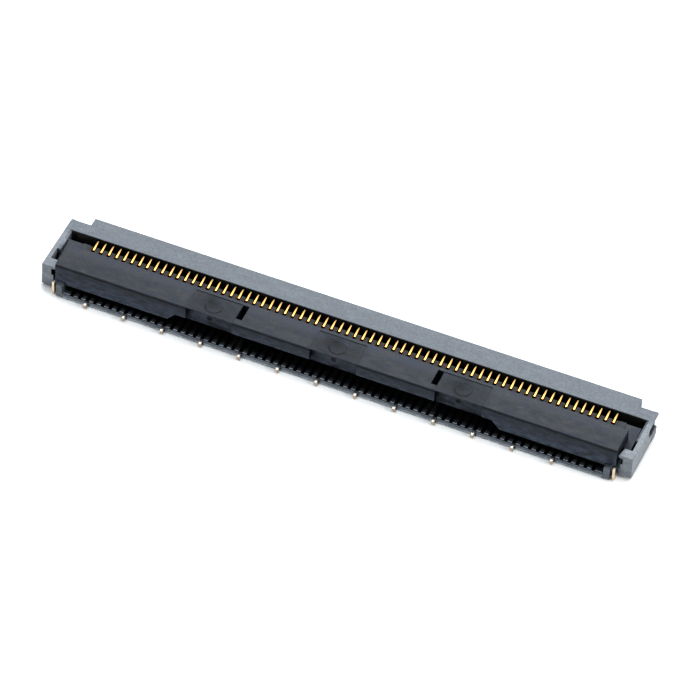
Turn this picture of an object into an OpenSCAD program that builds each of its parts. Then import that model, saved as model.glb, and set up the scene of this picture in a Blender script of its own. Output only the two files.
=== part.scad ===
// Flat flexible cable connector, 0.5 mm pitch, right-angle surface mount, with a front flip actuator.
// X runs along the row of contacts, the cable goes in from -Y, and the board's surface is Z = 0.

/* [Contact row] */
// Number of signal contacts
pins = 68; // [30:1:68]
// Distance from one contact to the next
pitch = 0.5; // [0.5:0.01:0.6]
// First contact place that also holds a ground contact
ground_first = 3; // [2:1:4]
// Contact places from one ground contact to the next
ground_step = 5; // [4:1:6]
// Thickness of the sheet that the contacts are stamped from
contact_t = 0.18; // [0.14:0.01:0.19]

/* [Housing] */
// From the last contact's centre to the housing's end
end_margin = 2.2; // [2.2:0.05:3]
// From the connector's middle to the front face of the floor
floor_front = 2.76; // [2.7:0.01:2.84]
// From the connector's middle to the rear face
body_rear = 2.67; // [2.6:0.01:2.8]
// How far the rear corners are cut forward
corner_cut = 0.63; // [0.4:0.01:0.8]
// Length of each cut rear corner
corner_cut_w = 1.28; // [1:0.02:1.5]
// Height of the roof above the board
roof_z = 1.725; // [1.7:0.005:1.8]
// Gap between the board and the underside of the floor
standoff = 0.05; // [0.03:0.005:0.07]
// Gap between the board and the underside of the end walls
end_standoff = 0.145; // [0.06:0.005:0.16]
// Thickness of the floor that the cable slides over
floor_t = 0.345; // [0.32:0.005:0.36]
// Thickness of the roof over the contacts
roof_t = 0.12; // [0.1:0.005:0.125]
// From the connector's middle to the edge of the roof over the actuator's well
well_rear = 1.166; // [1.12:0.002:1.22]
// Thickness of the thin end walls
end_wall_t = 0.28; // [0.24:0.01:0.34]
// Length along X of the blocks at the front of the end walls
end_block_w = 0.75; // [0.7:0.01:0.8]
// From the connector's middle to the front face of the end blocks
end_block_front = 2.2; // [2.1:0.01:2.3]
// Depth along Y of the end blocks
end_block_d = 0.67; // [0.5:0.01:0.8]
// Width of the rails beside the cable
rail_w = 0.39; // [0.3:0.01:0.4]
// Height of the rails above the floor
rail_h = 0.5; // [0.4:0.01:0.52]
// Thickness of the rim that closes the comb at the front
comb_rim = 0.06; // [0.05:0.01:0.08]
// How far the rim's top lies below the comb's teeth
rim_drop = 0.05; // [0:0.01:0.08]
// Height of the slot in each end wall
wall_slot_h = 0.76; // [0.6:0.01:0.8]
// Thickness of the roof over the slots in the end walls
wall_slot_roof = 0.165; // [0.14:0.005:0.2]
// From the connector's middle back to the round front end of each wall slot
wall_slot_front = 0.56; // [0.56:0.01:0.7]
// Depth of the slots in the outer sides of the end walls
wall_slot_d = 0.2; // [0.15:0.01:0.2]
// Thickness of each end wall beside the low tab, below the slope on its inner edge
end_slope_t = 0.43; // [0.36:0.01:0.45]
// Height of the lower edge of that slope
end_slope_z = 1.62; // [1.5:0.01:1.66]
// From the connector's middle to the front end of the slope
end_slope_front = 0.6; // [0.5:0.02:0.8]
// Height of the locking notch in each end block
lock_notch_h = 0.45; // [0.3:0.01:0.5]
// Depth along X of the locking notch in each end block
lock_notch_d = 0.12; // [0.08:0.01:0.15]
// Length along Y of the locking notch
lock_notch_l = 0.5; // [0.3:0.01:0.6]
// How far the lip over the locking notch reaches inward at the front
lock_lip = 0.15; // [0.08:0.01:0.16]
// Radius of the rounded long edges of the roof
roof_edge_r = 0.04; // [0.02:0.01:0.06]

/* [Cable] */
// Width of the flat cable beyond the outer contacts' centres, on each side
cable_edge = 0.5; // [0.4:0.05:0.5]
// Thickness of the cable's stiffened end
cable_t = 0.3; // [0.25:0.01:0.3]
// From the connector's middle to the wall that stops the cable
cable_stop = 1.6; // [1.5:0.01:1.7]

/* [Actuator] */
// Height of the pivot above the board
pivot_z = 1; // [0.99:0.005:1.01]
// From the connector's middle back to the pivot
pivot_y = 0.35; // [0.33:0.005:0.37]
// Radius of the rod that the contacts hook over
rod_r = 0.26; // [0.24:0.005:0.265]
// Height of the actuator's top at its front ridge
ridge_z = 2.235; // [2.1:0.005:2.3]
// How much higher the top is at its rear edge
top_rise = 0.025; // [0:0.005:0.05]
// Radius of the ridge along the front of the top
ridge_r = 0.06; // [0.03:0.01:0.08]
// From the connector's middle to the actuator's front face
lever_front = 2.385; // [2.3:0.005:2.5]
// Thickness of the nose in front of the actuator's main body
nose_t = 0.46; // [0.4:0.01:0.5]
// Height of the nose over the middle of the cable
nose_h = 0.92; // [0.8:0.01:0.98]
// Height and depth of the lead-in under the main body
lead_in = 0.1; // [0.06:0.01:0.3]
// From the connector's middle to the rear edge of the raised top
top_rear = 0.52; // [0.48:0.01:0.6]
// How far the rear wall of the raised top leans forward
rear_lean = 0.1; // [0:0.01:0.12]
// Height of the top of the teeth between the contacts
teeth_z = 1.525; // [1.5:0.005:1.53]
// From the connector's middle to the ends of the teeth
teeth_rear = 0.63; // [0.6:0.005:0.64]
// From the connector's middle to the closed ends of the contact slots
slot_end = 0.3; // [0.29:0.005:0.34]
// Width of the actuator's contact slots
slot_w = 0.24; // [0.22:0.01:0.32]
// From the connector's centre to the inner ends of the deep front lips
lip_start = 10.16; // [9.8:0.02:10.6]
// Length of the slanted inner end of each lip
lip_slant = 0.51; // [0.4:0.01:0.7]
// Height of the step over the rails at the actuator's ends
end_step = 0.18; // [0.17:0.005:0.22]
// From the ends of the deep toothed part to the ends of the raised part
cam_short = 0.5; // [0.4:0.01:0.55]
// How far the raised part stops short of the end blocks
block_gap = 0.2; // [0.15:0.01:0.25]
// Width of the low tab at each end
tab_w = 0.45; // [0.35:0.01:0.47]
// Length along Y of the low tabs
tab_l = 1.71; // [1.5:0.01:1.8]
// Height of the low tabs at the rear
tab_z = 1.51; // [1.48:0.01:1.54]
// How much lower the tabs are at the front
tab_fall = 0.21; // [0.1:0.01:0.25]
// Radius of the trunnions that the actuator turns on
trunnion_r = 0.1; // [0.08:0.005:0.12]
// How far the trunnions reach into the end walls
trunnion_seat = 0.13; // [0.08:0.01:0.15]

/* [Actuator details] */
// Distance between the gate recesses in the front face
recess_pitch = 8; // [7.4:0.1:8.2]
// Width of each gate recess
recess_w = 3; // [2.4:0.1:3.2]
// Thickness of the edge left above each gate recess
recess_lip = 0.04; // [0.03:0.01:0.08]
// Height of the slanted underside of each gate recess
recess_slant = 0.37; // [0.2:0.01:0.4]
// Depth of the shallow panel on the top behind each gate recess
panel_d = 0.015; // [0.01:0.005:0.03]
// From the connector's middle to the rear edge of the panels
panel_rear = 0.75; // [0.7:0.01:0.9]
// Radius of the ejector mark on each panel
ejector_r = 0.55; // [0.4:0.05:0.6]
// From the connector's middle to the centres of the ejector marks
ejector_y = 1.6; // [1.5:0.01:1.65]
// Radius of the gate dimple in each recess
dimple_r = 0.16; // [0.1:0.01:0.18]
// How far each gate dimple lies to the left of its recess's middle
dimple_x = 0.11; // [-0.2:0.01:0.2]
// Height of the gate dimples above the board
dimple_z = 1.48; // [1.4:0.01:1.5]
// Width of the two windows through the actuator
window_w = 0.38; // [0.3:0.01:0.42]
// Length of the two windows
window_l = 1.2; // [1:0.02:1.25]

/* [Contacts and fittings] */
// From the connector's middle to the tips of the hooks
hook_tip = 0.3; // [0.28:0.01:0.32]
// How far the arms drop towards the tips of the hooks
hook_drop = 0.1; // [0.06:0.01:0.1]
// Height of the top of the contacts' upper arms
arm_z = 1.585; // [1.57:0.005:1.59]
// Thickness of the contacts' arms
arm_t = 0.15; // [0.12:0.01:0.16]
// From the connector's middle to the rear ends of the solder tails
tail_rear = 3.05; // [3:0.01:3.1]
// Thickness of the solder tails
tail_t = 0.15; // [0.12:0.01:0.16]
// From the connector's middle to the front ends of the ground tails
ground_front = 3.05; // [3:0.01:3.1]
// Height of the ends of the ground tails
ground_end_z = 0.385; // [0.3:0.005:0.4]
// Thickness of the fittings' sheet
fitting_t = 0.15; // [0.14:0.01:0.2]
// From the rails' outer sides to the fittings
fitting_off = 0.15; // [0.14:0.01:0.17]
// Height of the fittings' front edges above the board
fitting_z = 0.92; // [0.8:0.01:0.92]
// Depth along Y of the fittings' upright front edges
fitting_edge = 0.15; // [0.12:0.01:0.2]
// Height of the fittings' feet behind their front edges
fitting_foot_z = 0.32; // [0.28:0.01:0.36]
// From the connector's middle to the front edge of the fittings
fitting_front = 2.66; // [2.6:0.01:2.75]
// Length of the fittings along Y
fitting_l = 2.1; // [1.8:0.05:2.3]

/* [Clearances] */
// Gap on each side of a contact in its groove
groove_gap = 0.02; // [0.01:0.005:0.03]
// Gap between the actuator and what it turns in
running_gap = 0.04; // [0.03:0.005:0.05]
// Gap between the cable and the actuator above it
cable_gap = 0.06; // [0.05:0.005:0.07]
// Gap on each side of a fitting in its slot
fitting_gap = 0.02; // [0.01:0.005:0.03]

/* [Hidden] */
$fn = 32;
contacts_per_node = 4;
signal_groups = ceil(pins / contacts_per_node);
ground_places = [for (i = [ground_first : ground_step : pins - 3]) i];
function two_digits(n) = n < 10 ? str("0", n) : str(n);
SIGNAL_NODES = [for (g = [1 : signal_groups]) str("signal_contacts_", two_digits(g))];
GROUND_NODES = [for (g = [1 : len(ground_places)]) str("ground_contact_", two_digits(g))];

housing_colour = [0.42, 0.44, 0.46];
actuator_colour = [0.22, 0.23, 0.26];
gold_colour = [0.83, 0.66, 0.3];
tin_colour = [0.78, 0.74, 0.7];

cut = 0.1; // how far a cutting shape runs past the surface that it opens
row_half = (pins - 1) * pitch / 2;
end_x = row_half + end_margin;
well_x = end_x - end_wall_t;
block_x = end_x - end_block_w;
notch_x = end_x - corner_cut_w;
corner_rear = body_rear - corner_cut;
slope_x = end_x - end_slope_t;
rail_x = row_half + cable_edge + 0.14;
rail_out = rail_x + rail_w;
fitting_x = rail_out + fitting_off + fitting_t / 2;
floor_z = standoff + floor_t;
rail_z = floor_z + rail_h;
cavity_z = roof_z - roof_t;
groove_z = floor_z - 0.17;
groove_w = contact_t + 2 * groove_gap;
cable_top = floor_z + cable_t;
lever_z = cable_top + cable_gap;
body_front = lever_front - nose_t;
nose_z = ridge_z - nose_h;
step_z = lever_z + end_step;
raised_x = block_x - block_gap;
tab_rear = teeth_rear - 0.05;
lip_end = rail_x - running_gap;
cam_r = teeth_rear - pivot_y;
rod_clear = rod_r + running_gap;
pivot = [pivot_y, pivot_z];
low_rail_z = pivot_z - norm([cam_r, pivot_z - step_z]) - running_gap;

function contact_x(i) = (i - (pins + 1) / 2) * pitch;
function arc(c, r, from, to, n) =
    [for (k = [0 : n]) c + r * [cos(from + (to - from) * k / n), sin(from + (to - from) * k / n)]];

// Extrudes an outline drawn in Y and Z along X, from x0 over a width w.
module along_x(x0, w) {
    translate([x0, 0, 0]) rotate([90, 0, 90]) linear_extrude(w) children();
}

// A box from its lowest corner to its highest.
module box(low, high) {
    translate(low) cube(high - low);
}

// Draws its children on both ends of the connector.
module both_ends() {
    children();
    mirror([1, 0, 0]) children();
}

// The housing is one moulding: the floor with its comb, the rear block over the contacts' roots, the
// rails beside the cable, and the end walls with the seats that the actuator's trunnions turn in.
module housing() {
    color(housing_colour)
    difference() {
        union() {
            rear_block();
            box([-rail_out, -floor_front, standoff], [rail_out, well_rear + cut, floor_z]);
            both_ends() {
                rail();
                end_wall();
            }
        }
        for (i = [1 : pins]) translate([contact_x(i) - groove_w / 2, 0, 0]) contact_cavity();
        for (i = ground_places)
            box([contact_x(i) - groove_w / 2, -floor_front - cut, standoff - cut],
                [contact_x(i) + groove_w / 2, -floor_front + comb_rim + cut, floor_z + cut]);
        box([-rail_x, -floor_front - cut, floor_z - rim_drop], [rail_x, -floor_front + comb_rim, floor_z + cut]);
        box([-rail_x, well_rear - cut, floor_z], [rail_x, cable_stop, lever_z]);
    }
}

// The block over the contacts' roots. Its corners are cut forward at both ends.
module rear_block() {
    along_x(-notch_x, 2 * notch_x) roofed(body_rear, standoff);
    along_x(-well_x - cut, 2 * (well_x + cut)) roofed(corner_rear, end_standoff);
}

// The section of a block that reaches back from the actuator's well, with rounded upper edges.
module roofed(rear, low) {
    r = roof_edge_r;
    polygon(concat(
        [[well_rear, low], [rear, low]],
        arc([rear - r, roof_z - r], r, 0, 90, 3),
        arc([well_rear + r, roof_z - r], r, 90, 180, 3)));
}

// The rail beside the cable, high at the front and low under the actuator's turning end.
module rail() {
    turn_y = pivot_y - cam_r - 2 * running_gap;
    box([rail_x, -floor_front, standoff], [rail_out, turn_y, rail_z]);
    box([rail_x, turn_y - cut, standoff], [rail_out, well_rear + cut, low_rail_z]);
}

// One end of the housing: the low end floor over the fitting's foot, the thin outer wall, thicker
// beside the low tab, and the block with the lip that the actuator's end shuts against.
module end_wall() {
    difference() {
        union() {
            box([rail_out - cut, -end_block_front, end_standoff], [end_x, well_rear + cut, low_rail_z]);
            box([well_x, -end_block_front, end_standoff], [end_x, corner_rear, roof_z]);
            slope_wall();
            box([block_x, -end_block_front, end_standoff], [end_x, -end_block_front + end_block_d, roof_z]);
            translate([0, 0, teeth_z]) linear_extrude(roof_z - teeth_z)
                polygon([
                    [block_x + cut, -end_block_front], [block_x - lock_lip, -end_block_front],
                    [block_x, -end_block_front + end_block_d], [block_x + cut, -end_block_front + end_block_d]]);
        }
        box([fitting_x - fitting_t / 2 - fitting_gap, -end_block_front - cut, end_standoff - cut],
            [fitting_x + fitting_t / 2 + fitting_gap, -fitting_front + fitting_l + fitting_gap,
             fitting_foot_z + fitting_gap]);
        box([block_x - cut, -end_block_front - cut, teeth_z - lock_notch_h],
            [block_x + lock_notch_d, -end_block_front + lock_notch_l, teeth_z]);
        translate([slope_x - cut, pivot_y, pivot_z]) rotate([0, 90, 0])
            cylinder(r = trunnion_r + running_gap, h = well_x + trunnion_seat + running_gap / 2 - slope_x + cut);
        wall_slot();
    }
}

// The thicker stretch of the end wall, which the trunnion turns in. Its inner edge slopes down from
// the wall's top, so that the actuator's end finds its way in.
module slope_wall() {
    translate([0, well_rear + cut, 0]) rotate([90, 0, 0]) linear_extrude(well_rear + cut + end_slope_front)
        polygon([
            [end_x, end_standoff], [slope_x, end_standoff], [slope_x, end_slope_z],
            [well_x, roof_z], [end_x, roof_z]]);
}

// The slot in the outer side of the wall under the roof: rounded at the front and open at the rear,
// where the wall below it ends a little ahead of the roof.
module wall_slot() {
    top = roof_z - wall_slot_roof;
    low = top - wall_slot_h;
    top_r = 0.2;
    low_r = 0.3;
    corner_r = 0.08;
    wall_rear = corner_rear - 0.14;
    along_x(end_x - wall_slot_d, wall_slot_d + cut)
        polygon(concat(
            arc([wall_slot_front + top_r, top - top_r], top_r, 90, 180, 5),
            arc([wall_slot_front + low_r, low + low_r], low_r, 180, 270, 6),
            arc([wall_rear - corner_r, low - corner_r], corner_r, 90, 0, 3),
            [[wall_rear, end_standoff - cut], [corner_rear + cut, end_standoff - cut],
             [corner_rear + cut, top]]));
}

// The space for one contact: a groove in the floor, a slot through the rear block, and the way out
// for the solder tail.
module contact_cavity() {
    tail_way = body_rear - 0.45;
    along_x(0, groove_w)
        polygon([
            [-floor_front + comb_rim, groove_z], [tail_way, groove_z], [tail_way, standoff - cut],
            [body_rear + cut, standoff - cut], [body_rear + cut, cavity_z], [well_rear - cut, cavity_z],
            [well_rear - cut, floor_z + cut], [-floor_front + comb_rim, floor_z + cut]]);
}

// The actuator is one moulding: a raised lever over the cable, teeth between the contacts joined by
// a rod that the contacts hook over, and a low tab with a trunnion at each end.
module actuator() {
    color(actuator_colour)
    difference() {
        union() {
            along_x(-lip_end, 2 * lip_end) lever_outline();
            both_ends() {
                front_lip();
                actuator_end();
            }
            teeth();
            along_x(-lip_end, 2 * lip_end) rod_outline();
        }
        for (k = [-1, 0, 1]) translate([k * recess_pitch, 0, 0]) gate_recess();
        both_ends() window();
    }
}

function tab_top(y) = tab_z + tab_fall * (y - tab_rear) / tab_l;
function top_z(y) = ridge_z + top_rise * (y + lever_front) / (lever_front - top_rear);
top_outline = concat(
    [[-top_rear + rear_lean, teeth_z], [-top_rear, ridge_z + top_rise]],
    arc([-lever_front + ridge_r, ridge_z - ridge_r], ridge_r, 90, 180, 4));

// The lever's section over the middle of the cable, from the slots' closed ends forward.
module lever_outline() {
    polygon(concat(
        [[-slot_end, lever_z], [-slot_end, teeth_z]],
        top_outline,
        [[-lever_front, nose_z], [-body_front, nose_z], [-body_front, lever_z + lead_in],
         [-body_front + lead_in, lever_z]]));
}

// The rod under the hooks. Its underside is flat, in line with the lever's, and joins it.
module rod_outline() {
    flat = asin((pivot_z - lever_z) / rod_r);
    polygon(concat(
        [[-slot_end - cut, lever_z]],
        arc(pivot, rod_r, -flat, 200, 12),
        [[-slot_end - cut, pivot_z - 0.1]]));
}

// The deep lip below the nose near each end, which stops inward at a slant.
module front_lip() {
    translate([0, -body_front + cut, 0]) rotate([90, 0, 0]) linear_extrude(nose_t + cut)
        polygon([
            [lip_start, nose_z + cut], [lip_start, nose_z], [lip_start + lip_slant, lever_z],
            [lip_end, lever_z], [lip_end, nose_z + cut]]);
}

// The end of the lever: the step over the rail, the low tab that starts under the raised part and
// runs on beyond it, and the trunnion.
module actuator_end() {
    inside = lip_end - 0.3;
    cam_end = raised_x - cam_short;
    along_x(inside, cam_end - inside)
        polygon(concat(
            [[pivot_y, step_z]],
            arc(pivot, cam_r, -asin((pivot_z - step_z) / cam_r), 0, 2),
            [[teeth_rear, teeth_z]],
            top_outline,
            [[-lever_front, step_z]]));
    along_x(cam_end - cut, raised_x - cam_end + cut)
        polygon(concat(
            [[-slot_end, step_z], [-slot_end, tab_top(-slot_end)]],
            [[-top_rear + rear_lean, tab_top(-top_rear + rear_lean)]],
            [for (k = [1 : len(top_outline) - 1]) top_outline[k]],
            [[-lever_front, step_z]]));
    along_x(cam_end - cut, tab_w + cam_short + cut)
        polygon([
            [tab_rear - 0.04, step_z], [tab_rear, pivot_z], [tab_rear, tab_z],
            [tab_rear - tab_l, tab_z - tab_fall], [tab_rear - tab_l, step_z]]);
    translate([raised_x + tab_w - cut, pivot_y, pivot_z]) rotate([0, 90, 0])
        cylinder(r = trunnion_r, h = well_x + trunnion_seat - raised_x - tab_w + cut);
}

// The teeth between the contacts, and the solid stretches beyond the first and last contact.
module teeth() {
    for (i = [1 : pins - 1])
        along_x(contact_x(i) + slot_w / 2, pitch - slot_w) tooth_outline();
    both_ends()
        along_x(row_half + slot_w / 2, lip_end - row_half - slot_w / 2) tooth_outline();
}

module tooth_outline() {
    edge_r = 0.05;
    polygon(concat(
        [[-slot_end - cut, lever_z]],
        arc(pivot, cam_r, -asin((pivot_z - lever_z) / cam_r), 0, 5),
        arc([teeth_rear - edge_r, teeth_z - edge_r], edge_r, 0, 90, 3),
        [[-slot_end - cut, teeth_z]]));
}

// A gate recess: the nose is left out under a thin edge, the gate leaves a dimple in the main body's
// front face, and the top carries a shallow panel with an ejector mark.
module gate_recess() {
    under_edge = ridge_z - recess_lip;
    along_x(-recess_w / 2, recess_w)
        polygon([
            [-lever_front - cut, under_edge], [-lever_front, under_edge],
            [-body_front, under_edge - recess_slant], [-body_front, lever_z - cut],
            [-lever_front - cut, lever_z - cut]]);
    along_x(-recess_w / 2, recess_w)
        polygon([
            [-panel_rear, top_z(-panel_rear) - panel_d], [-panel_rear, ridge_z + 2 * cut],
            [-lever_front - cut, ridge_z + 2 * cut], [-lever_front - cut, ridge_z - panel_d]]);
    translate([0, -ejector_y, ridge_z - 2 * panel_d]) cylinder(r = ejector_r, h = 1);
    translate([-dimple_x, -body_front + 0.05, dimple_z]) rotate([90, 0, 0]) cylinder(r = dimple_r, h = 0.4);
}

// A window through the lever beside each outer gate recess.
module window() {
    window_out = recess_pitch - recess_w / 2 - 0.05;
    box([window_out - window_w, -panel_rear - window_l, lever_z - cut],
        [window_out, -panel_rear, ridge_z + 1]);
}

// A signal contact is stamped from sheet: an upper arm that hooks over the actuator's rod, a lower
// arm with a raised contact point under the cable, a root in the rear block, and a solder tail.
module signal_contact() {
    root_y = 1.95;
    root_end = body_rear - 0.2;
    nose_r = 0.07;
    low_arm_z = groove_z + 0.01;
    low_arm_top = floor_z - 0.03;
    point_y = -0.75;
    along_x(-contact_t / 2, contact_t)
        polygon(concat(
            [[root_end, arm_z], [well_rear, arm_z]],
            arc([hook_tip + nose_r, arm_z - hook_drop - nose_r], nose_r, 90, 180, 3),
            arc(pivot, rod_clear, 98, 60, 4),
            [[0.85, arm_z - arm_t - 0.03], [root_y - 0.25, arm_z - arm_t - 0.06], [root_y, arm_z - 0.45],
             [root_y, low_arm_top + 0.3], [root_y - 0.25, low_arm_top], [point_y + 0.75, low_arm_top],
             [point_y + 0.1, floor_z + 0.13], [point_y - 0.05, floor_z + 0.14], [point_y - 0.25, floor_z],
             [point_y - 0.25, low_arm_z + 0.06], [point_y - 0.15, low_arm_z],
             [body_rear - 0.42, low_arm_z], [body_rear - 0.42, tail_t], [body_rear - 0.32, 0],
             [tail_rear, 0], [tail_rear, tail_t], [root_end + 0.05, tail_t], [root_end, tail_t + 0.08]]));
}

// A ground contact is stamped from the same sheet. It lies in the comb ahead of a signal contact,
// touches the underside of the cable and is soldered at the front edge.
module ground_contact() {
    spring_y = -1.5;
    spring_z = floor_z + 0.1;
    low = groove_z + 0.01;
    arm_top = low + 0.09;
    along_x(-contact_t / 2, contact_t)
        polygon([
            [-ground_front, 0], [-ground_front, ground_end_z - 0.04], [-ground_front + 0.04, ground_end_z],
            [-floor_front - 0.04, ground_end_z], [-floor_front + 0.1, arm_top],
            [spring_y - 0.45, arm_top], [spring_y - 0.1, spring_z], [spring_y + 0.05, spring_z],
            [spring_y + 0.4, low + 0.04], [spring_y + 0.4, low],
            [-floor_front + 0.12, low], [-floor_front - 0.06, 0]]);
}

// A fitting is a stamped strip on edge under the end floor. It is soldered to the board along its
// foot, holds the connector down, and ends in an upright edge at the front.
module fitting() {
    rear = -fitting_front + fitting_l;
    behind_edge = -fitting_front + fitting_edge;
    foot_end_z = end_standoff + 0.05;
    along_x(-fitting_t / 2, fitting_t)
        polygon([
            [-fitting_front, 0], [-fitting_front, fitting_z], [behind_edge, fitting_z],
            [behind_edge + 0.05, fitting_foot_z], [rear, fitting_foot_z],
            [rear, foot_end_z], [rear - 0.5, foot_end_z], [rear - 0.55, 0]]);
}

module signal_group(g) {
    first = (g - 1) * contacts_per_node + 1;
    last = min(pins, g * contacts_per_node);
    color(gold_colour)
    for (i = [first : last]) translate([contact_x(i), 0, 0]) signal_contact();
}

housing();
actuator();
color(tin_colour) translate([-fitting_x, 0, 0]) fitting();  // fitting_left
color(tin_colour) translate([fitting_x, 0, 0]) fitting();  // fitting_right
for (g = [1 : signal_groups])
    signal_group(g);
for (g = [1 : len(ground_places)])
    color(tin_colour) translate([contact_x(ground_places[g - 1]), 0, 0]) ground_contact();
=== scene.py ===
"""A 68-way, 0.5 mm pitch flat cable connector with a front flip actuator, dressed around its frame."""

import math

import bmesh
import bpy
from mathutils import Matrix, Vector


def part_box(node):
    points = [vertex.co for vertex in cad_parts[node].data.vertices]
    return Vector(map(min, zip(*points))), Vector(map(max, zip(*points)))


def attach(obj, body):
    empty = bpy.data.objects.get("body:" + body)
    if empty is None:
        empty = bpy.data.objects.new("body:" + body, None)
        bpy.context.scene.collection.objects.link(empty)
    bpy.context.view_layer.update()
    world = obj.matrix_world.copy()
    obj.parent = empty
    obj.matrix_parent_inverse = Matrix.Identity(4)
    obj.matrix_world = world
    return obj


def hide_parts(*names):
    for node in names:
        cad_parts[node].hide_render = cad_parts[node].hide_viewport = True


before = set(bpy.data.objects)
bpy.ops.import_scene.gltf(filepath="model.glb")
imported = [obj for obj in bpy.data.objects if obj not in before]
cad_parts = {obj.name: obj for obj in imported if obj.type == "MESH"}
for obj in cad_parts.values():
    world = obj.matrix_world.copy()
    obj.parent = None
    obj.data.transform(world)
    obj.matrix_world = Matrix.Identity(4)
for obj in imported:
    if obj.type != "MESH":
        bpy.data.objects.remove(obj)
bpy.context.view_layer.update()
MM = 0.001

# The photographer's view: a long lens from the front, above and a little to the right of the
# connector, which lies on a white table. The camera looks at a point on the table under it.
CAMERA_AZIMUTH = 20.65
CAMERA_ELEVATION = 45.30
CAMERA_ROLL = 3.38
CAMERA_DISTANCE = 377.13 * MM
CAMERA_AIM = Vector((-0.073, 0.602, 0.0)) * MM
CAMERA_LENS = 326.3
CAMERA_NEAR = 0.01
CAMERA_FAR = 10.0


def direction(azimuth, elevation):
    """The unit vector from the object towards a place at that azimuth and elevation, in degrees."""
    a, e = math.radians(azimuth), math.radians(elevation)
    return Vector((math.sin(a) * math.cos(e), -math.cos(a) * math.cos(e), math.sin(e)))


def place_facing(obj, aim, azimuth, elevation, distance, roll=0.0):
    """Puts a camera or light at a distance from aim and turns it to face aim."""
    back = direction(azimuth, elevation)
    obj.location = aim + back * distance
    turn = back.to_track_quat("Z", "Y").to_matrix() @ Matrix.Rotation(math.radians(roll), 3, "Z")
    obj.rotation_euler = turn.to_euler()


camera_data = bpy.data.cameras.new("photo_camera")
camera_data.lens = CAMERA_LENS
camera_data.clip_start = CAMERA_NEAR
camera_data.clip_end = CAMERA_FAR
camera = bpy.data.objects.new("photo_camera", camera_data)
bpy.context.scene.collection.objects.link(camera)
place_facing(camera, CAMERA_AIM, CAMERA_AZIMUTH, CAMERA_ELEVATION, CAMERA_DISTANCE, CAMERA_ROLL)
bpy.context.scene.camera = camera

# The light: a high, soft window behind the connector shines in its tops, and two low, weaker lights
# on the right and in front reach its sides. The contrast leaves slots black and the table white.
LIGHT_DISTANCE = 1.0
WINDOW_COLOUR = (0.98, 0.99, 1.0)
ROOM_COLOUR = (0.8, 0.9, 1.0, 1.0)
ROOM_STRENGTH = 0.3
bpy.context.scene.view_settings.view_transform = "Standard"
bpy.context.scene.view_settings.look = "Very High Contrast"


def soft_light(name, azimuth, elevation, size, power, colour=(1, 1, 1)):
    """A square area light of a real size, facing the connector."""
    data = bpy.data.lights.new(name, "AREA")
    data.shape = "SQUARE"
    data.size = size
    data.energy = power
    data.color = colour
    light = bpy.data.objects.new(name, data)
    bpy.context.scene.collection.objects.link(light)
    place_facing(light, Vector((0, 0, 0)), azimuth, elevation, LIGHT_DISTANCE)


soft_light("rear_window", azimuth=184, elevation=64, size=1.2, power=12.9, colour=WINDOW_COLOUR)
soft_light("right_window", azimuth=92, elevation=20, size=0.6, power=6.0)
soft_light("front_fill", azimuth=-20, elevation=14, size=0.8, power=6.0)
world = bpy.data.worlds.new("room")
bpy.context.scene.world = world
world.use_nodes = True
world.node_tree.nodes["Background"].inputs["Color"].default_value = ROOM_COLOUR
world.node_tree.nodes["Background"].inputs["Strength"].default_value = ROOM_STRENGTH

# The table: a sheet of smooth pale card, lit so strongly that the photograph shows it as plain
# white, apart from a soft shadow along the front. Its colour drifts a little, as paper does.
TABLE_SIZE = 0.6
CARD_SHADES = ("#d7d6d4", "#dbdad8")
CARD_DRIFT_MM = 25.0
CARD_ROUGH = 0.9


def linear(hex_colour):
    """An sRGB hex colour as linear RGBA."""
    parts = [int(hex_colour[i : i + 2], 16) / 255 for i in (1, 3, 5)]
    return [p / 12.92 if p <= 0.04045 else ((p + 0.055) / 1.055) ** 2.4 for p in parts] + [1.0]


def add(tree, kind, settings=None, inputs=None, links=None):
    """Adds a node with its settings, its constant inputs and its links from other nodes' sockets."""
    node = tree.nodes.new(kind)
    for key, value in (settings or {}).items():
        setattr(node, key, value)
    for key, value in (inputs or {}).items():
        node.inputs[key].default_value = value
    for key, socket in (links or {}).items():
        tree.links.new(socket, node.inputs[key])
    return node


def new_material(name):
    """An empty material for one real finish, with its node tree and its shader."""
    material = bpy.data.materials.new(name)
    material.use_nodes = True
    return material, material.node_tree, material.node_tree.nodes["Principled BSDF"]


def per_mm(size):
    """The scale of a pattern whose features are that many millimetres across."""
    return 1 / (size * MM)


def set_stops(ramp, shades, positions=(0.0, 1.0)):
    """Gives a colour ramp's two stops their hex shades and their positions."""
    for stop, shade, position in zip(ramp.color_ramp.elements, shades, positions):
        stop.position = position
        stop.color = linear(shade)


pale_card, tree, shader = new_material("pale_card")
shader.inputs["Roughness"].default_value = CARD_ROUGH
here = add(tree, "ShaderNodeTexCoord")
drift = add(
    tree, "ShaderNodeTexNoise",
    inputs={"Scale": per_mm(CARD_DRIFT_MM), "Detail": 3.0},
    links={"Vector": here.outputs["Object"]},
)
tint = add(tree, "ShaderNodeValToRGB", links={"Fac": drift.outputs["Fac"]})
set_stops(tint, CARD_SHADES)
tree.links.new(tint.outputs["Color"], shader.inputs["Base Color"])
table_mesh = bpy.data.meshes.new("table")
half = TABLE_SIZE / 2
table_mesh.from_pydata(
    [(-half, -half, 0), (half, -half, 0), (half, half, 0), (-half, half, 0)], [], [(0, 1, 2, 3)]
)
table_mesh.materials.append(pale_card)
table = bpy.data.objects.new("table", table_mesh)
bpy.context.scene.collection.objects.link(table)

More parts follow.
